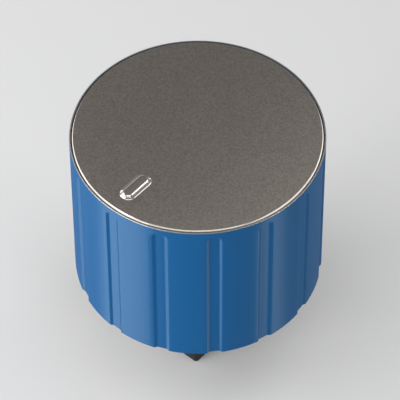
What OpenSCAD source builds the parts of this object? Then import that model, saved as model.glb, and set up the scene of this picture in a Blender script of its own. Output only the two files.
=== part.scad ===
// Round control knob that pushes onto a valve's D-shaped shaft.
// Millimetres. +Z runs up along the shaft's axis, and the pointer lies towards -Y.
// The origin is the centre of the stem's lower end.

/* [Body] */
// Diameter of the body at its lower edge
body_d = 40; // [38:0.5:46]
// Height of the body, from its lower edge to the face of the disc
body_h = 29.8; // [27:0.1:34]
// How much smaller the body's radius is at the top than at the lower edge
body_draft = 0.54; // [0.2:0.02:0.8]
// Thickness of the body's wall
wall_t = 1.9; // [1.5:0.1:2.3]
// Thickness of the plate that the disc lies on
plate_t = 2.6; // [2.2:0.1:3.2]

/* [Flutes] */
// Number of upright flutes round the body
flute_count = 15; // [9:1:21]
// Width of a flute where it meets the body's surface
flute_w = 2.3; // [1.6:0.1:2.8]
// Width of a flute's floor, as a share of its full width
flute_floor_share = 0.64; // [0.5:0.02:0.8]
// Depth of a flute
flute_depth = 0.32; // [0.2:0.02:0.5]
// Distance from the body's upper edge down to the closed end of a flute
flute_top_gap = 1.15; // [0.6:0.05:3]

/* [Disc] */
// Thickness of the metal disc
disc_t = 0.6; // [0.5:0.05:0.8]
// Width of the polished bevel round the disc
bevel_w = 0.2; // [0.1:0.05:0.3]
// Radial gap between the disc and the lip that stands round it
disc_gap = 0.1; // [0.05:0.05:0.2]
// Thickness of the lip that stands round the disc
lip_t = 0.28; // [0.25:0.01:0.6]
// Thickness of the adhesive film under the disc
film_t = 0.15; // [0.1:0.05:0.3]

/* [Pointer] */
// Distance from the axis to the pointer's inner end
pointer_start = 11.2; // [8:0.1:12]
// Distance from the axis to the pointer's outer end
pointer_end = 16.9; // [15:0.1:17.5]
// Width of the pointer at its foot
pointer_w = 2.5; // [2:0.1:3]
// Width of the pointer's flat top
pointer_top_w = 1.25; // [0.8:0.05:1.6]
// Height of the pointer above the disc
pointer_h = 0.4; // [0.2:0.05:0.5]

/* [Stem] */
// How far the stem reaches below the body
stem_reach = 18.5; // [16:0.5:22]
// Size of the stem along the pointer's direction
stem_l = 14; // [13:0.5:15]
// Size of the stem across the pointer's direction
stem_w = 11; // [10:0.5:12]
// Radius of the stem's upright corners
stem_corner_r = 0.6; // [0.3:0.1:1]

/* [Shaft hole] */
// Diameter of the round part of the hole, which guides the knob onto the shaft
guide_d = 6.6; // [6.5:0.05:6.8]
// Length of the round part, from the stem's lower end
guide_len = 9; // [8:0.5:10]
// Diameter of the D-shaped part, for a shaft of 6 mm
drive_d = 6.1; // [6.05:0.05:6.2]
// Length of the D-shaped part of the hole, above the round part
drive_len = 9.5; // [8:0.5:11]
// Distance from the axis to the flat of the D
flat_offset = 1.6; // [1.4:0.1:2]

/* [Shaft spring] */
// Thickness of the spring's sheet
spring_t = 0.35; // [0.25:0.05:0.4]
// Width of the spring
spring_w = 3.4; // [3:0.1:3.5]
// How far the spring bows towards the shaft
spring_bow = 0.75; // [0.5:0.05:0.85]

/* [Fixing screws] */
// Distance from the axis to each screw
screw_offset = 12.2; // [12:0.1:12.6]
// Diameter of a screw's shank
screw_d = 2.4; // [2.2:0.1:2.6]
// Diameter of a screw's head
screw_head_d = 5.2; // [4.6:0.1:5.4]
// Length of a screw under its head
screw_len = 6.5; // [6:0.1:6.6]

/* [Hidden] */

$fn = 96;

// How far a cutter runs past a surface, and how far joined solids reach into each other
overrun = 1;
join = 0.1;

// Heights above the stem's lower end
z_edge = stem_reach;
z_face = z_edge + body_h;
lip_drop = 0.13;
z_lip = z_face - lip_drop;
z_seat = z_face - disc_t - film_t;
z_ceiling = z_seat - plate_t;
boss_h = 3.5;
z_flange_top = z_ceiling - boss_h;
flange_t = 2.4;
z_flange = z_flange_top - flange_t;

// Body
edge_r = body_d / 2;
top_r = edge_r - body_draft;
edge_round = 0.3;
lip_round = 0.18;
corner_round = 1.2;
seat_r = top_r - lip_t;
bore_edge_r = edge_r - wall_t;
bore_top_r = top_r - wall_t;
mouth_chamfer = 0.3;
boss_r = 3;
ring_r = 7;
ring_t = 1.9;
ring_gap = 0.1;
ring_drop = 2.95;
key_w = 2;
key_reach = 14.4;
key_h = 7;
key_gap = 0.2;

// Flutes: each lies along the body's slope
flute_pitch = 360 / flute_count;
slope_angle = atan(body_draft / body_h);
flute_end_r = 0.6;
flute_side_gap = 0.1;

// Disc
disc_r = seat_r - disc_gap;
film_inset = 0.5;
film_r = disc_r - film_inset;
emboss_t = 0.45;
emboss_foot_t = 0.35;
emboss_side_t = 0.25;

// Insert
flange_r = 15.6;
pilot_r = ring_r - ring_t - ring_gap;
pilot_h = 2.2;
core_r = 2.2;
core_floor_t = 2.5;
core_end = guide_len + drive_len + core_floor_t;
rib_t = 1.6;
rib_start = 5;
rib_reach = 14;
rib_h = 12;
rib_edge_h = 1;
rib_toe = norm([stem_w, stem_l]) / 2 - 0.5;
clear_hole_d = 3.2;
hole_chamfer = 0.4;
foot_chamfer = 0.3;

// Spring: it lies in a slot on the pointer's side of the hole
slot_w = spring_w + 0.2;
slot_back = 3.9;
spring_foot = 1.7;
foot_gap = 0.1;
foot_recess = 0.15;
bow_start = guide_len + 0.5;
bow_end = guide_len + drive_len - 1;
bow_steps = 16;
spring_tail = 0.6;

// Screws
screw_count = 3;
screw_turn = 90;
head_h = 1.7;
head_round = 0.9;
cross_w = 2.6;
cross_t = 0.7;
cross_depth = 1;
shank_gap = 0.02;
tip_gap = 0.4;
pilot_hole_h = screw_len - flange_t + tip_gap;

// Points of an arc, as [x, y] pairs from one angle to another
function arc(cx, cy, r, from, to, steps = 5) =
    [for (i = [0:steps]) let (a = from + (to - from) * i / steps) [cx + r * cos(a), cy + r * sin(a)]];

// A rectangle with round corners, centred on the axis
module round_rect(w, l, r) {
    square([w - 2 * r, l], center = true);
    square([w, l - 2 * r], center = true);
    for (sx = [-1, 1], sy = [-1, 1])
        translate([sx * (w / 2 - r), sy * (l / 2 - r)]) circle(r);
}

// A long bar with sloping sides and round ends, lying towards -Y on the plane z = 0
module pill(start, end, foot_w, top_w, h) {
    near = start + foot_w / 2;
    far = end - foot_w / 2;
    for (y = [near, far])
        translate([0, -y, 0]) cylinder(h = h, r1 = foot_w / 2, r2 = top_w / 2);
    translate([0, -near, 0]) rotate([90, 0, 0])
        linear_extrude(far - near)
            polygon([[-foot_w / 2, 0], [foot_w / 2, 0], [top_w / 2, h], [-top_w / 2, h]]);
}

// Repeats its children at each screw
module at_screws() {
    for (i = [0:screw_count - 1])
        rotate(screw_turn + i * 360 / screw_count) translate([screw_offset, 0, 0]) children();
}

// One flute's cutter, towards -Y: flat floor, sloping flanks, closed at its top with round corners
module flute_cutter() {
    floor_half = flute_w * flute_floor_share / 2;
    flank = flute_w / 2 - floor_half;
    run = overrun / flute_depth;
    slope_len = (z_lip - flute_top_gap - z_edge) / cos(slope_angle);
    translate([0, -edge_r, z_edge]) rotate([-slope_angle, 0, 0]) intersection() {
        translate([0, 0, -overrun]) linear_extrude(slope_len + overrun)
            polygon([
                [-floor_half, flute_depth], [floor_half, flute_depth],
                [floor_half + flank * (1 + run), -overrun],
                [-floor_half - flank * (1 + run), -overrun]
            ]);
        translate([0, flute_depth + overrun, 0]) rotate([90, 0, 0])
            linear_extrude(flute_depth + 2 * overrun) flute_outline(slope_len);
    }
}

// The flute seen from outside: open at the lower edge, round corners at the top
module flute_outline(len) {
    half = flute_w / 2 + flute_side_gap;
    translate([-half, -overrun]) square([2 * half, len + overrun - flute_end_r]);
    translate([flute_end_r - half, 0]) square([2 * (half - flute_end_r), len]);
    for (s = [-1, 1]) translate([s * (half - flute_end_r), len - flute_end_r]) circle(flute_end_r);
}

// Fluted cup, open at the bottom, with a shallow seat for the disc in its top
module outer_shell() {
    color([0.08, 0.34, 0.6]) {
        difference() {
            rotate_extrude() polygon(concat(
                [[0, z_seat], [0, z_ceiling]],
                arc(bore_top_r - corner_round, z_ceiling - corner_round, corner_round, 90, 0),
                [[bore_edge_r, z_edge + mouth_chamfer], [bore_edge_r + mouth_chamfer, z_edge]],
                arc(edge_r - edge_round, z_edge + edge_round, edge_round, -90, 0),
                arc(top_r - lip_round, z_lip - lip_round, lip_round, 0, 90),
                [[seat_r, z_lip], [seat_r, z_seat]]
            ));
            for (i = [0:flute_count - 1]) rotate(i * flute_pitch) flute_cutter();
            at_screws() translate([0, 0, z_ceiling - overrun])
                cylinder(h = overrun + pilot_hole_h - boss_h, r = screw_d / 2 + shank_gap);
        }
        shell_bosses();
        locating_ring();
        key_rib();
    }
}

// Three bosses under the plate, drilled for the screws
module shell_bosses() {
    at_screws() difference() {
        translate([0, 0, z_flange_top]) cylinder(h = boss_h + join, r = boss_r);
        translate([0, 0, z_flange_top - overrun])
            cylinder(h = pilot_hole_h + overrun, r = screw_d / 2 + shank_gap);
    }
}

// Ring under the plate that centres the insert
module locating_ring() {
    translate([0, 0, z_ceiling - ring_drop]) difference() {
        cylinder(h = ring_drop + join, r = ring_r);
        translate([0, 0, -overrun]) cylinder(h = ring_drop + overrun, r = ring_r - ring_t);
    }
}

// Upright rib inside the wall that lets the insert go in only one way round
module key_rib() {
    intersection() {
        translate([-key_w / 2, -edge_r, z_ceiling - key_h])
            cube([key_w, edge_r - key_reach, key_h + join]);
        cylinder(h = z_seat, r = bore_top_r + wall_t / 2);
    }
}

// Stamped disc with a bevelled edge and the raised pointer, hollow under the pointer
module top_cap() {
    color([0.62, 0.59, 0.55]) difference() {
        union() {
            rotate_extrude() polygon([
                [0, z_face - disc_t], [disc_r, z_face - disc_t], [disc_r, z_face - bevel_w],
                [disc_r - bevel_w, z_face], [0, z_face]
            ]);
            translate([0, 0, z_face]) pill(pointer_start, pointer_end, pointer_w, pointer_top_w, pointer_h);
        }
        translate([0, 0, z_face - disc_t]) pill(
            pointer_start + emboss_foot_t, pointer_end - emboss_foot_t,
            pointer_w - 2 * emboss_foot_t, pointer_top_w - 2 * emboss_side_t,
            disc_t + pointer_h - emboss_t
        );
    }
}

// Film that holds the disc on its seat
module cap_adhesive() {
    color([0.85, 0.83, 0.76]) translate([0, 0, z_seat]) cylinder(h = film_t, r = film_r);
}

// Shaft hole: round at first, then D-shaped, with a slot for the spring all the way
module shaft_hole() {
    guide_r = guide_d / 2;
    drive_r = drive_d / 2;
    hole_len = guide_len + drive_len;
    translate([0, 0, -overrun]) cylinder(h = overrun + guide_len, r = guide_r);
    rotate_extrude() polygon([
        [0, -overrun], [guide_r + hole_chamfer + overrun, -overrun],
        [guide_r, hole_chamfer], [0, hole_chamfer]
    ]);
    intersection() {
        cylinder(h = hole_len, r = drive_r);
        translate([-drive_r, flat_offset - drive_d, 0]) cube([drive_d, drive_d, hole_len]);
    }
    translate([-slot_w / 2, -slot_back, -overrun]) cube([slot_w, slot_back, hole_len + overrun]);
    // Recess for the spring's foot in the stem's end
    translate([-slot_w / 2, -slot_back - spring_foot, -overrun])
        cube([slot_w, spring_foot + join, overrun + foot_recess + spring_t]);
}

// Moulded insert: stem, flange, four corner ribs and the pilot that fits the locating ring
module stem_insert() {
    color([0.06, 0.06, 0.06]) difference() {
        union() {
            translate([0, 0, foot_chamfer]) linear_extrude(z_flange - foot_chamfer + join)
                round_rect(stem_w, stem_l, stem_corner_r);
            linear_extrude(foot_chamfer + join)
                round_rect(stem_w - 2 * foot_chamfer, stem_l - 2 * foot_chamfer, stem_corner_r);
            translate([0, 0, z_flange]) cylinder(h = flange_t, r = flange_r);
            translate([0, 0, z_flange_top - join]) cylinder(h = pilot_h + join, r = pilot_r);
            corner_ribs();
        }
        shaft_hole();
        translate([0, 0, core_end]) cylinder(h = z_face, r = core_r);
        at_screws() translate([0, 0, z_flange - overrun])
            cylinder(h = flange_t + 2 * overrun, r = clear_hole_d / 2);
        // Notch for the key rib
        translate([-key_w / 2 - key_gap, -flange_r - overrun, z_flange - overrun])
            cube([key_w + 2 * key_gap, flange_r + overrun - key_reach + key_gap, flange_t + 2 * overrun]);
    }
}

// Ribs that brace the flange against the stem's corners
module corner_ribs() {
    lean = atan(stem_w / stem_l);
    for (a = [90 - lean, 90 + lean, 270 - lean, 270 + lean])
        rotate(a) rotate([90, 0, 0]) translate([0, 0, -rib_t / 2]) linear_extrude(rib_t)
            polygon([
                [rib_start, z_flange + join], [rib_reach, z_flange + join],
                [rib_reach, z_flange - rib_edge_h], [rib_toe, z_flange - rib_h],
                [rib_start, z_flange - rib_h]
            ]);
}

// Leaf spring, bowed towards the shaft over the D-shaped part of the hole
module shaft_spring() {
    back = -slot_back;
    toe = back - spring_foot + foot_gap;
    low = foot_recess;
    tail = bow_end + spring_tail;
    // Height of the bow at a share t of its length
    function bow(t) = spring_bow * pow(sin(180 * t), 2);
    rear = [
        for (i = [0:bow_steps]) let (t = i / bow_steps)
            [back + bow(t), bow_start + t * (bow_end - bow_start)]
    ];
    front = [for (p = rear) [p[0] + spring_t, p[1]]];
    color([0.75, 0.75, 0.76]) translate([-spring_w / 2, 0, 0]) rotate([90, 0, 90])
        linear_extrude(spring_w) polygon(concat(
            [[toe, low], [back + spring_t, low]],
            front,
            [[back + spring_t, tail], [back, tail]],
            [for (i = [bow_steps:-1:0]) rear[i]],
            [[back, low + spring_t], [toe, low + spring_t]]
        ));
}

// Three pan-head screws with cross recesses, all alike
module insert_screws() {
    head_r = screw_head_d / 2;
    color([0.7, 0.7, 0.72]) at_screws() difference() {
        union() {
            translate([0, 0, z_flange]) cylinder(h = screw_len, r = screw_d / 2);
            translate([0, 0, z_flange - head_h]) rotate_extrude() polygon(concat(
                [[0, 0]],
                arc(head_r - head_round, head_round, head_round, -90, 0),
                [[head_r, head_h], [0, head_h]]
            ));
        }
        for (a = [0, 90]) rotate(a)
            translate([-cross_w / 2, -cross_t / 2, z_flange - head_h - overrun])
                cube([cross_w, cross_t, cross_depth + overrun]);
    }
}

outer_shell();
top_cap();
cap_adhesive();
stem_insert();
shaft_spring();
insert_screws();
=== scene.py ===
"""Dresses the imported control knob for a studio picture.

Metres, in the CAD model's frame: +Z runs up the shaft's axis, the pointer lies towards -Y,
and the origin is the centre of the stem's lower end. Azimuth 0 is the pointer's side, and
azimuths grow to the right of someone who stands there.

fluted_shell takes the place of outer_shell, and metal_disc that of top_cap. The other nodes
keep their CAD meshes and get a finish.
"""

import math

import bmesh
import bpy
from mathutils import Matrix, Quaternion, Vector


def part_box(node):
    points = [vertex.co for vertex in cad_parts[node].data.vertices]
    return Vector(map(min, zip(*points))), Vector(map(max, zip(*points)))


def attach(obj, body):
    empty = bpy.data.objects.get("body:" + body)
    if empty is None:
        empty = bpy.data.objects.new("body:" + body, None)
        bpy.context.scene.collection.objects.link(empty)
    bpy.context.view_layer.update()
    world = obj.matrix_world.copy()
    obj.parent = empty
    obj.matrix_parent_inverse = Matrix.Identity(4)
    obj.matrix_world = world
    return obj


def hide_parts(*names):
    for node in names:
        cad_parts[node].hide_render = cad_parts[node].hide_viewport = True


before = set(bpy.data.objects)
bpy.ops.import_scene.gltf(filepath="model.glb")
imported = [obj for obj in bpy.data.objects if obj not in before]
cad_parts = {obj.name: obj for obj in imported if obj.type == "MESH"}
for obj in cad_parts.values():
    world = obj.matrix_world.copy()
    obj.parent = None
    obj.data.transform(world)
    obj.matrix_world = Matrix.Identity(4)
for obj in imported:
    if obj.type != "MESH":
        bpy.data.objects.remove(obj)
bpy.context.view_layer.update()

MM = 0.001

# Camera: its place is seen from the centre of the disc's face. It aims at a point that lies
# AIM_SIDE to its right of the axis.
VIEW_AZIMUTH = 41.0
VIEW_ELEVATION = 48.77
VIEW_DISTANCE = 301.71 * MM
VIEW_LENS = 179.54
VIEW_SENSOR = 36.0
VIEW_ROLL = -0.27
AIM_HEIGHT = 32.22 * MM
AIM_SIDE = 0.302 * MM
CLIP_START = 0.01
CLIP_END = 50

# Studio
FLOOR_SIZE = 6.0
WORLD_LEVEL = 0.31

# Lamps, in the order they are made: azimuth from the camera's and elevation in degrees,
# distance, (width, height), and power in watts
LAMPS = {
    # the wall, with the broad band on its left
    "low_left": (-56, 4, 0.4, (0.3, 0.11), 2.6),
    # bevel at the front left
    "side_left": (-74, 28, 0.4, (0.45, 0.16), 0.3),
    # face of the disc, and outer end of the pointer
    "high_left": (-90, 46, 0.38, (0.42, 0.2), 0.55),
    # bevel at the left
    "rear_left": (-118, 7, 0.4, (0.45, 0.16), 0.36),
    # narrow band on the wall's right
    "low_right": (56, 4, 0.4, (0.11, 0.11), 0.7),
    # bevel at the front right
    "side_right": (72, 27, 0.4, (0.45, 0.14), 0.22),
    # bevel at the right
    "rear_right": (118, 6, 0.4, (0.45, 0.14), 0.32),
    # bevel at the front
    "front": (-3, 41, 0.5, (0.66, 0.1), 0.2),
    # face of the disc, and right shoulder of the pointer
    "high_right": (118, 56, 0.3, (0.14, 0.12), 0.13),
    # face of the disc
    "top": (0, 80, 0.4, (0.25, 0.2), 0.24),
    # left shoulder of the pointer
    "back_left": (-162, 17, 0.4, (0.25, 0.08), 0.035),
}

# Sizes of the knob. Outer radii and heights are read from the CAD parts in model.glb, and most
# other sizes are the source's. The flutes' flanks, the pointer's sides and the smallest rounds
# are the scene's own.

# Body. MOUTH_ROUND is a chamfer in the source.
SHELL_LO, SHELL_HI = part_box("outer_shell")
Z_EDGE = SHELL_LO.z
Z_LIP = SHELL_HI.z
Z_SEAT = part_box("cap_adhesive")[0].z
EDGE_R = min(SHELL_HI.x, SHELL_HI.y)
DRAFT = 0.54 * MM
TOP_R = EDGE_R - DRAFT
WALL = 1.9 * MM
PLATE = 2.6 * MM
Z_CEILING = Z_SEAT - PLATE
EDGE_ROUND = 0.3 * MM
CORNER_ROUND = 1.2 * MM
MOUTH_ROUND = 0.3 * MM
SMALL_ROUND = 0.2 * MM

# Lip round the disc. Its round is bare metal from LIP_BARE_FROM up, in degrees from its foot.
LIP_T = 0.28 * MM
LIP_ROUND = 0.18 * MM
LIP_INNER_ROUND = 0.03 * MM
LIP_BARE_FROM = 35.0

# Ring, screw bosses and key rib under the plate. Bosses and rib reach INTO_PLATE into it.
RING_R = 7.0 * MM
RING_T = 1.9 * MM
RING_DROP = 2.95 * MM
BOSS_R = 3.0 * MM
BOSS_H = 3.5 * MM
BOSS_ROUND = 0.15 * MM
PILOT_R = 1.22 * MM
SCREW_OFFSET = 12.2 * MM
SCREW_AZIMUTHS = (180.0, 60.0, 300.0)
KEY_W = 2.0 * MM
KEY_REACH = 14.4 * MM
KEY_H = 7.0 * MM
INTO_PLATE = 0.2 * MM

# Flutes: half a flute's width and the round at its upper end are measured to the middle of
# its flank, and FLANK_CORNER is the share of the flank that each round corner takes
FLUTES = 15
FLUTE_HALF = 1.0 * MM
FLUTE_END_R = 0.55 * MM
FLUTE_FLANK = 0.56 * MM
FLANK_CORNER = 0.2
FLUTE_DEPTH = 0.32 * MM
FLUTE_TOP_GAP = 1.15 * MM
Z_FLUTE_END = Z_LIP - FLUTE_TOP_GAP - FLUTE_FLANK / 2

# Disc and pointer. The pointer's ends are distances from the axis, its leans are in degrees
# from level, and its corners are cut from POINTER_CORNER before them. The face has a ring of
# points POINTER_MARGIN outside the pointer's foot.
DISC_LO, DISC_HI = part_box("top_cap")
DISC_R = DISC_HI.x
DISC_UNDER = DISC_LO.z
BEVEL = 0.2 * MM
BEVEL_ROUND = 0.03 * MM
POINTER_H = 0.4 * MM
Z_FACE = DISC_HI.z - POINTER_H
POINTER_START = 11.2 * MM
POINTER_END = 16.9 * MM
POINTER_W = 2.5 * MM
POINTER_TOP_W = 1.25 * MM
POINTER_CORNER = 0.04 * MM
POINTER_SHOULDER = 0.22 * MM
POINTER_SHOULDER_LEAN = 21.0
POINTER_FLANK_LEAN = 36.0
POINTER_FOOT_ROUND = 0.34 * MM
POINTER_MARGIN = 0.5 * MM

# Steps along rounds and straight stretches, and points round a whole outline
EDGE_STEPS = 6
CORNER_STEPS = 8
MOUTH_STEPS = 5
KEY_STEPS = 4
SMALL_STEPS = 3
WALL_STEPS = 5
FLUTE_END_STEPS = 24
FLUTE_FLOOR_STEPS = 3
FLANK_STEPS = 10
LAND_STEPS = 4
BOSS_POINTS = 48
POINTER_POINTS = 192

# Points closer than MERGE become one, so a ring of radius POLE_R closes on the axis
MERGE = 2e-6
POLE_R = 1e-6

# Edges that turn by more than this many degrees stay sharp
SHELL_SHARP = 35.0
DISC_SHARP = 50.0


# ---------------------------------------------------------------- meshes


def between(start, end, steps):
    """Values from start to end in equal steps, with both ends."""
    return [start + (end - start) * i / steps for i in range(steps + 1)]


def arc(x, y, r, start, end, steps):
    """Points on an arc round (x, y), from one angle to another in degrees."""
    angles = [math.radians(degrees) for degrees in between(start, end, steps)]
    return [(x + r * math.cos(a), y + r * math.sin(a)) for a in angles]


def round_step(t, corner):
    """0 below 0, 1 above 1, and between them a straight slope with a round corner at each end."""
    t = min(max(t, 0.0), 1.0)
    bend = 2 * corner * (1 - corner)
    if t < corner:
        return t * t / bend
    if t > 1 - corner:
        return 1 - (1 - t) ** 2 / bend
    return (t - corner / 2) / (1 - corner)


def around(azimuth, r, z=0.0):
    """The point at an azimuth in radians, a radius and a height."""
    return Vector((r * math.sin(azimuth), -r * math.cos(azimuth), z))


def turned(profile, azimuths):
    """Rings round the axis, one for each (radius, height) of a profile."""
    return [[around(a, max(r, POLE_R), z) for a in azimuths] for r, z in profile]


def loft(bm, rings, start_cap=False, end_cap=False):
    """Joins rings with the same number of points into a skin, and closes its ends if asked."""
    rows = [[bm.verts.new(p) for p in ring] for ring in rings]
    count = len(rows[0])
    for low, high in zip(rows, rows[1:]):
        for i in range(count):
            j = (i + 1) % count
            bm.faces.new((low[i], low[j], high[j], high[i]))
    if start_cap:
        bm.faces.new(reversed(rows[0]))
    if end_cap:
        bm.faces.new(rows[-1])


def finish_mesh(name, bm, slot, materials, sharp=SHELL_SHARP):
    """Makes a piece of a mesh: smooth faces, sharp edges where it turns, its materials and, if a
    slot is given, its body.
    """
    bmesh.ops.remove_doubles(bm, verts=bm.verts, dist=MERGE)
    bmesh.ops.recalc_face_normals(bm, faces=bm.faces)
    limit = math.radians(sharp)
    for face in bm.faces:
        face.smooth = True
    for edge in bm.edges:
        edge.smooth = len(edge.link_faces) == 2 and edge.calc_face_angle() < limit
    mesh = bpy.data.meshes.new(name)
    bm.to_mesh(mesh)
    bm.free()
    for material in materials:
        mesh.materials.append(material)
    piece = bpy.data.objects.new(name, mesh)
    bpy.context.scene.collection.objects.link(piece)
    if slot:
        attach(piece, "root")
    return piece


# ---------------------------------------------------------------- materials


def new_material(name, color, metallic, roughness):
    """A material whose constant values sit on the shader's own sockets."""
    material = bpy.data.materials.new(name)
    material.use_nodes = True
    shader = material.node_tree.nodes["Principled BSDF"]
    shader.inputs["Base Color"].default_value = (*color, 1)
    shader.inputs["Metallic"].default_value = metallic
    shader.inputs["Roughness"].default_value = roughness
    return material, shader


def add_noise(material, scale, detail=2.0, roughness=0.5, stretch=(1, 1, 1)):
    """A noise over the object's own coordinates; scale is in cells a millimetre."""
    nodes, links = material.node_tree.nodes, material.node_tree.links
    coords = nodes.new("ShaderNodeTexCoord")
    mapping = nodes.new("ShaderNodeMapping")
    mapping.inputs["Scale"].default_value = [scale / MM * s for s in stretch]
    noise = nodes.new("ShaderNodeTexNoise")
    noise.inputs["Scale"].default_value = 1.0
    noise.inputs["Detail"].default_value = detail
    noise.inputs["Roughness"].default_value = roughness
    links.new(coords.outputs["Object"], mapping.inputs["Vector"])
    links.new(mapping.outputs["Vector"], noise.inputs["Vector"])
    return noise.outputs["Fac"]


def add_bump(material, shader, height, distance, strength=1.0):
    """Bump from a height that runs from 0 to 1, over a distance in metres."""
    bump = material.node_tree.nodes.new("ShaderNodeBump")
    bump.inputs["Strength"].default_value = strength
    bump.inputs["Distance"].default_value = distance
    material.node_tree.links.new(height, bump.inputs["Height"])
    material.node_tree.links.new(bump.outputs["Normal"], shader.inputs["Normal"])


def add_ramp(material, value, socket, low, high):
    """Maps a value through two (place, colour) stops to a socket."""
    ramp = material.node_tree.nodes.new("ShaderNodeValToRGB")
    for element, (place, color) in zip(ramp.color_ramp.elements, (low, high)):
        element.position = place
        element.color = (*color, 1)
    material.node_tree.links.new(value, ramp.inputs["Fac"])
    material.node_tree.links.new(ramp.outputs["Color"], socket)


def add_range(material, value, socket, low, high):
    """Maps a value from 0..1 to low..high on a socket."""
    remap = material.node_tree.nodes.new("ShaderNodeMapRange")
    remap.inputs["To Min"].default_value = low
    remap.inputs["To Max"].default_value = high
    material.node_tree.links.new(value, remap.inputs["Value"])
    material.node_tree.links.new(remap.outputs["Result"], socket)


def blue_metallic():
    """Satin body finish, brushed round the axis so that a lamp gives an upright band. Its blue
    is a painted reflection of a blue backdrop in the wall's metal.
    """
    material, shader = new_material("blue_metallic", (0.0, 0.051, 0.15), 0.0, 0.5)
    shader.inputs["Specular IOR Level"].default_value = 0.4
    # Specular Tint turns the wall's reflections blue, more of the painted reflection of the blue
    # backdrop
    shader.inputs["Specular Tint"].default_value = (0.75, 0.96, 1, 1)
    shader.inputs["Anisotropic"].default_value = 1.0
    # A quarter turn from the tangent, which runs round the axis, so highlights spread upright
    shader.inputs["Anisotropic Rotation"].default_value = 0.25
    tangent = material.node_tree.nodes.new("ShaderNodeTangent")
    tangent.direction_type = "RADIAL"
    tangent.axis = "Z"
    material.node_tree.links.new(tangent.outputs["Tangent"], shader.inputs["Tangent"])
    fleck = add_noise(material, scale=9.0)
    # The fleck varies the painted-reflection blue at random
    color = shader.inputs["Base Color"]
    add_ramp(material, fleck, color, (0.3, (0.0, 0.047, 0.139)), (0.7, (0.0, 0.055, 0.161)))
    return material


def satin_metal():
    """Fine blasted metal of the disc's face and the lip's top."""
    material, shader = new_material("satin_metal", (0.25, 0.235, 0.22), 1.0, 0.42)
    grain = add_noise(material, scale=3.2, detail=3.0, roughness=0.75)
    color = shader.inputs["Base Color"]
    add_ramp(material, grain, color, (0.3, (0.2, 0.181, 0.161)), (0.7, (0.32, 0.29, 0.258)))
    add_range(material, grain, shader.inputs["Roughness"], 0.34, 0.46)
    add_bump(material, shader, grain, 0.055 * MM)
    return material


def polished_metal():
    """Polished metal of the disc's bevel and the pointer's sides."""
    material, shader = new_material("polished_metal", (0.6, 0.57, 0.53), 1.0, 0.14)
    grain = add_noise(material, scale=4.0)
    add_range(material, grain, shader.inputs["Roughness"], 0.1, 0.18)
    return material


def black_nylon():
    """Moulded black plastic of the insert."""
    material, shader = new_material("black_nylon", (0.006, 0.006, 0.007), 0.0, 0.5)
    shader.inputs["Specular IOR Level"].default_value = 0.25
    grain = add_noise(material, scale=5.0, detail=3.0)
    add_range(material, grain, shader.inputs["Roughness"], 0.42, 0.58)
    add_bump(material, shader, grain, 0.01 * MM, strength=0.4)
    return material


def adhesive_film():
    """Cream double-sided film under the disc."""
    material, shader = new_material("adhesive_film", (0.8, 0.78, 0.7), 0.0, 0.7)
    fibre = add_noise(material, scale=2.0, detail=4.0)
    color = shader.inputs["Base Color"]
    add_ramp(material, fibre, color, (0.3, (0.76, 0.73, 0.65)), (0.7, (0.83, 0.81, 0.74)))
    return material


def spring_steel():
    """Rolled steel of the leaf spring."""
    material, shader = new_material("spring_steel", (0.55, 0.55, 0.56), 1.0, 0.3)
    rolled = add_noise(material, scale=1.0, detail=3.0, stretch=(12, 12, 0.4))
    add_range(material, rolled, shader.inputs["Roughness"], 0.24, 0.4)
    add_bump(material, shader, rolled, 0.003 * MM, strength=0.4)
    return material


def zinc_plate():
    """Zinc plating of the screws."""
    material, shader = new_material("zinc_plate", (0.6, 0.6, 0.62), 1.0, 0.35)
    cloud = add_noise(material, scale=1.5, detail=3.0)
    color = shader.inputs["Base Color"]
    add_ramp(material, cloud, color, (0.3, (0.52, 0.53, 0.56)), (0.7, (0.66, 0.66, 0.66)))
    add_range(material, cloud, shader.inputs["Roughness"], 0.28, 0.42)
    return material


def floor_paper():
    """Pale matt paper."""
    material, shader = new_material("floor_paper", (0.62, 0.62, 0.62), 0.0, 0.9)
    shader.inputs["Specular IOR Level"].default_value = 0.1
    return material


# ---------------------------------------------------------------- body


def flute_cut(along, z):
    """Depth of the nearest flute at a distance along the surface from its middle, and a height."""
    dx = abs(along) - (FLUTE_HALF - FLUTE_END_R)
    dz = z - (Z_FLUTE_END - FLUTE_END_R)
    inside = FLUTE_END_R - (math.hypot(dx, dz) if dx > 0 and dz > 0 else max(dx, dz))
    return FLUTE_DEPTH * round_step(inside / FLUTE_FLANK + 0.5, FLANK_CORNER)


def flute_stations():
    """Distances along the surface, over one flute and half the land on each side of it."""
    half_pitch = math.pi * EDGE_R / FLUTES
    inner = FLUTE_HALF - FLUTE_FLANK / 2
    outer = FLUTE_HALF + FLUTE_FLANK / 2
    side = between(0, inner, FLUTE_FLOOR_STEPS)[1:]
    side += [inner + s for s in between(0, FLUTE_FLANK, FLANK_STEPS)[1:]]
    side += between(outer, half_pitch, LAND_STEPS)[1:-1]
    return [-half_pitch] + [-s for s in reversed(side)] + [0.0] + side


def wall_profile():
    """The wall's outside without its flutes: (radius, height) from the edge up to the lip."""
    low = Z_EDGE + EDGE_ROUND
    high = Z_LIP - LIP_ROUND
    end_from = Z_FLUTE_END - FLUTE_END_R - FLUTE_FLANK
    end_to = Z_FLUTE_END + FLUTE_FLANK
    heights = between(low, end_from, WALL_STEPS)[1:-1]
    heights += between(end_from, end_to, FLUTE_END_STEPS)
    profile = arc(EDGE_R - EDGE_ROUND, low, EDGE_ROUND, -90, 0, EDGE_STEPS)
    profile += [(EDGE_R - DRAFT * (z - low) / (high - low), z) for z in heights]
    profile += arc(TOP_R - LIP_ROUND, high, LIP_ROUND, 0, 90, EDGE_STEPS)
    return profile


def seat_profile():
    """The lip's inner side and the seat: (radius, height) from the lip to the axis."""
    seat_r = TOP_R - LIP_T
    r = LIP_INNER_ROUND
    profile = arc(seat_r + r, Z_LIP - r, r, 90, 180, SMALL_STEPS)
    profile += [(seat_r, Z_SEAT), (seat_r / 2, Z_SEAT), (0.0, Z_SEAT)]
    return profile


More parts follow.
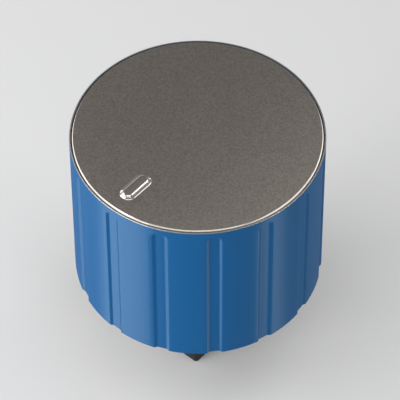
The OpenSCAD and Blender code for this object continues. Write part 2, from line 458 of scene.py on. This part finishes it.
def hollow_profile():
    """The hollow with its ring: (radius, height) from the axis to the mouth."""
    bore_top = TOP_R - WALL
    bore_edge = EDGE_R - WALL
    ring_bore = RING_R - RING_T
    ring_end = Z_CEILING - RING_DROP
    corner_x = bore_top - CORNER_ROUND
    corner_z = Z_CEILING - CORNER_ROUND
    mouth_x = bore_edge + MOUTH_ROUND
    mouth_z = Z_EDGE + MOUTH_ROUND
    r = SMALL_ROUND
    profile = [(0.0, Z_CEILING), (ring_bore, Z_CEILING)]
    profile += arc(ring_bore + r, ring_end + r, r, 180, 270, SMALL_STEPS)
    profile += arc(RING_R - r, ring_end + r, r, -90, 0, SMALL_STEPS)
    profile += [(RING_R, Z_CEILING)]
    profile += arc(corner_x, corner_z, CORNER_ROUND, 90, 0, CORNER_STEPS)
    profile += arc(mouth_x, mouth_z, MOUTH_ROUND, 180, 270, MOUTH_STEPS)
    return profile


def shell_wall(bm):
    """The cup with its flutes, its lip, its seat and the ring inside, as one closed skin."""
    stations = flute_stations()
    columns = [
        (math.tau * i / FLUTES + s / EDGE_R, s) for i in range(FLUTES) for s in stations
    ]
    azimuths = [a for a, s in columns]
    outside = [
        [around(a, r - flute_cut(s, z), z) for a, s in columns] for r, z in wall_profile()
    ]
    loft(bm, outside + turned(seat_profile(), azimuths))
    loft(bm, turned(hollow_profile(), azimuths) + outside[:1])


def shell_bosses(bm):
    """Three hollow bosses for the screws."""
    low = Z_CEILING - BOSS_H
    high = Z_CEILING + INTO_PLATE
    r = BOSS_ROUND
    profile = [(PILOT_R, Z_CEILING), (PILOT_R, low), (BOSS_R - r, low)]
    profile += arc(BOSS_R - r, low + r, r, -90, 0, SMALL_STEPS)[1:]
    profile += [(BOSS_R, high), (PILOT_R, high), (PILOT_R, Z_CEILING)]
    turns = [math.tau * i / BOSS_POINTS for i in range(BOSS_POINTS)]
    for azimuth in SCREW_AZIMUTHS:
        centre = around(math.radians(azimuth), SCREW_OFFSET)
        loft(bm, [[p + centre for p in ring] for ring in turned(profile, turns)])


def shell_key(bm):
    """The upright rib that keys the insert. Its back lies within the wall."""
    back = TOP_R - WALL / 2
    half = KEY_W / 2
    r = SMALL_ROUND
    outline = [(-half, -back), (-half, -KEY_REACH - r)]
    outline += arc(-half + r, -KEY_REACH - r, r, 180, 90, KEY_STEPS)
    outline += arc(half - r, -KEY_REACH - r, r, 90, 0, KEY_STEPS)
    outline += [(half, -back)]
    heights = (Z_CEILING - KEY_H, Z_CEILING + INTO_PLATE)
    rings = [[Vector((x, y, z)) for x, y in outline] for z in heights]
    loft(bm, rings, start_cap=True, end_cap=True)


def outer_shell(wall_material, lip_material):
    """The fluted body, whose blue is a painted reflection of a blue backdrop, with bare metal on
    its lip.
    """
    bm = bmesh.new()
    shell_wall(bm)
    shell_bosses(bm)
    shell_key(bm)
    lip_foot = Z_LIP - LIP_ROUND * (1 - math.sin(math.radians(LIP_BARE_FROM)))
    for face in bm.faces:
        middle = face.calc_center_median()
        on_lip = middle.z > lip_foot and middle.xy.length > TOP_R - LIP_T
        face.material_index = 1 if on_lip else 0
    piece = finish_mesh("fluted_shell", bm, "blue_metallic", [wall_material, lip_material])
    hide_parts("outer_shell")


# ---------------------------------------------------------------- disc


def pill_ring(grow, z):
    """The pointer's outline, grown from its foot by a distance, as points at a height."""
    r = POINTER_W / 2 + grow
    near = POINTER_START + POINTER_W / 2
    far = POINTER_END - POINTER_W / 2
    quarter = POINTER_POINTS // 4
    points = []
    for i in range(POINTER_POINTS):
        side, step = divmod(i, quarter)
        t = step / quarter
        if side == 0:
            points.append((r, far + (near - far) * t))
        elif side == 1:
            points.append((r * math.cos(math.pi * t), near - r * math.sin(math.pi * t)))
        elif side == 2:
            points.append((-r, near + (far - near) * t))
        else:
            points.append((-r * math.cos(math.pi * t), far + r * math.sin(math.pi * t)))
    return [Vector((x, -y, z)) for x, y in points]


def disc_ring(r, z):
    """A circle round the axis whose points face those of the pointer's outline."""
    centre = Vector((0, -(POINTER_START + POINTER_END) / 2, 0))
    points = []
    for p in pill_ring(0, 0):
        way = (p - centre).normalized()
        b = centre.dot(way)
        reach = -b + math.sqrt(b * b - centre.length_squared + r * r)
        point = centre + way * reach
        point.z = z
        points.append(point)
    return points


def pointer_profile():
    """The pointer's section: (growth from its foot, height), from its top's middle outwards."""
    flank = math.radians(POINTER_FLANK_LEAN)
    shoulder_fall = math.tan(math.radians(POINTER_SHOULDER_LEAN))
    flank_fall = math.tan(flank)
    corner = POINTER_CORNER
    foot_r = POINTER_FOOT_ROUND
    edge = (POINTER_TOP_W - POINTER_W) / 2
    shoulder_end = edge + POINTER_SHOULDER
    shoulder_z = POINTER_H - POINTER_SHOULDER * shoulder_fall
    foot_z = foot_r * (1 - math.cos(flank))
    flank_end = shoulder_end + (shoulder_z - foot_z) / flank_fall
    foot_x = flank_end + foot_r * math.sin(flank)
    profile = [
        (-POINTER_W / 2, POINTER_H),
        (edge - corner, POINTER_H),
        (edge + corner, POINTER_H - corner * shoulder_fall),
        (shoulder_end - corner, shoulder_z + corner * shoulder_fall),
        (shoulder_end + corner / 2, shoulder_z - corner / 2 * flank_fall),
    ]
    profile += arc(foot_x, foot_r, foot_r, 270 - POINTER_FLANK_LEAN, 270, EDGE_STEPS)
    return profile


def bevel_profile():
    """The bevel at 45 degrees with its two round corners: (radius, height) from the face down."""
    inner = DISC_R - BEVEL
    r = BEVEL_ROUND
    setback = r * math.tan(math.pi / 8)
    profile = arc(inner - setback, Z_FACE - r, r, 90, 45, SMALL_STEPS)
    profile += arc(DISC_R - r, Z_FACE - BEVEL - setback, r, 45, 0, SMALL_STEPS)
    return profile


def top_cap(face_material, bevel_material):
    """The disc, with its bevel, the raised pointer on it and a flat underside."""
    bm = bmesh.new()
    rings = [pill_ring(grow, Z_FACE + h) for grow, h in pointer_profile()]
    rings.append(pill_ring(POINTER_MARGIN, Z_FACE))
    rings += [disc_ring(r, z) for r, z in bevel_profile()]
    rings.append(disc_ring(DISC_R, DISC_UNDER))
    loft(bm, rings, end_cap=True)
    # The bevel and the pointer's sides are polished. A face is told by where its middle lies.
    bevel_from = DISC_R - BEVEL - BEVEL_ROUND
    bevel_to = Z_FACE - BEVEL * 1.5
    side_from = POINTER_H * 0.02
    side_to = POINTER_H * 0.98
    for face in bm.faces:
        middle = face.calc_center_median()
        on_bevel = middle.xy.length > bevel_from and middle.z > bevel_to
        on_side = side_from < middle.z - Z_FACE < side_to
        face.material_index = 1 if on_bevel or on_side else 0
    materials = [face_material, bevel_material]
    piece = finish_mesh("metal_disc", bm, "satin_metal", materials, DISC_SHARP)
    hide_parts("top_cap")


def dress(node, material):
    """Gives a CAD node a finish."""
    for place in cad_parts[node].material_slots:
        place.material = material


# ---------------------------------------------------------------- studio


def towards(azimuth, elevation):
    """The unit vector to an azimuth and an elevation in degrees."""
    a = math.radians(azimuth)
    e = math.radians(elevation)
    return Vector((math.sin(a) * math.cos(e), -math.cos(a) * math.cos(e), math.sin(e)))


def place_camera():
    """Puts the camera at the photo's viewing angle."""
    a = math.radians(VIEW_AZIMUTH)
    right = Vector((math.cos(a), math.sin(a), 0))
    place = Vector((0, 0, Z_FACE)) + towards(VIEW_AZIMUTH, VIEW_ELEVATION) * VIEW_DISTANCE
    aim = Vector((0, 0, AIM_HEIGHT)) + right * AIM_SIDE
    turn = (aim - place).to_track_quat("-Z", "Y")
    roll = Quaternion((0, 0, 1), math.radians(VIEW_ROLL))
    camera = bpy.data.objects.new("camera", bpy.data.cameras.new("camera"))
    camera.data.lens = VIEW_LENS
    camera.data.sensor_width = VIEW_SENSOR
    camera.data.clip_start = CLIP_START
    camera.data.clip_end = CLIP_END
    camera.location = place
    camera.rotation_mode = "QUATERNION"
    camera.rotation_quaternion = turn @ roll
    bpy.context.scene.collection.objects.link(camera)
    bpy.context.scene.camera = camera


def softbox(name, azimuth, elevation, distance, size, power):
    """A rectangular lamp that faces the body. Its azimuth is counted from the camera's."""
    target = Vector((0, 0, (Z_EDGE + Z_LIP) / 2))
    way = towards(VIEW_AZIMUTH + azimuth, elevation)
    light = bpy.data.lights.new(name, "AREA")
    light.shape = "RECTANGLE"
    light.size, light.size_y = size
    light.energy = power
    lamp = bpy.data.objects.new(name, light)
    lamp.location = target + way * distance
    lamp.rotation_mode = "QUATERNION"
    lamp.rotation_quaternion = (-way).to_track_quat("-Z", "Y")
    bpy.context.scene.collection.objects.link(lamp)


def light_world(level):
    """Even light from all round, which is also the backdrop behind the floor."""
    world = bpy.data.worlds.new("studio")
    bpy.context.scene.world = world
    world.use_nodes = True
    world.node_tree.nodes["Background"].inputs["Color"].default_value = (level, level, level, 1)


def lay_floor():
    """Lays level paper under the knob."""
    bm = bmesh.new()
    half = FLOOR_SIZE / 2
    corners = [(-half, -half), (half, -half), (half, half), (-half, half)]
    bm.faces.new([bm.verts.new((x, y, 0)) for x, y in corners])
    floor = finish_mesh("floor", bm, None, [floor_paper()])


place_camera()
satin = satin_metal()
# The body's blue material is a painted reflection of a blue backdrop in its metal
outer_shell(blue_metallic(), satin)
top_cap(satin, polished_metal())
dress("cap_adhesive", adhesive_film())
dress("stem_insert", black_nylon())
dress("shaft_spring", spring_steel())
dress("insert_screws", zinc_plate())

light_world(WORLD_LEVEL)
lay_floor()
for lamp_name, values in LAMPS.items():
    softbox(lamp_name, *values)

scene = bpy.context.scene
scene.view_settings.view_transform = "Standard"
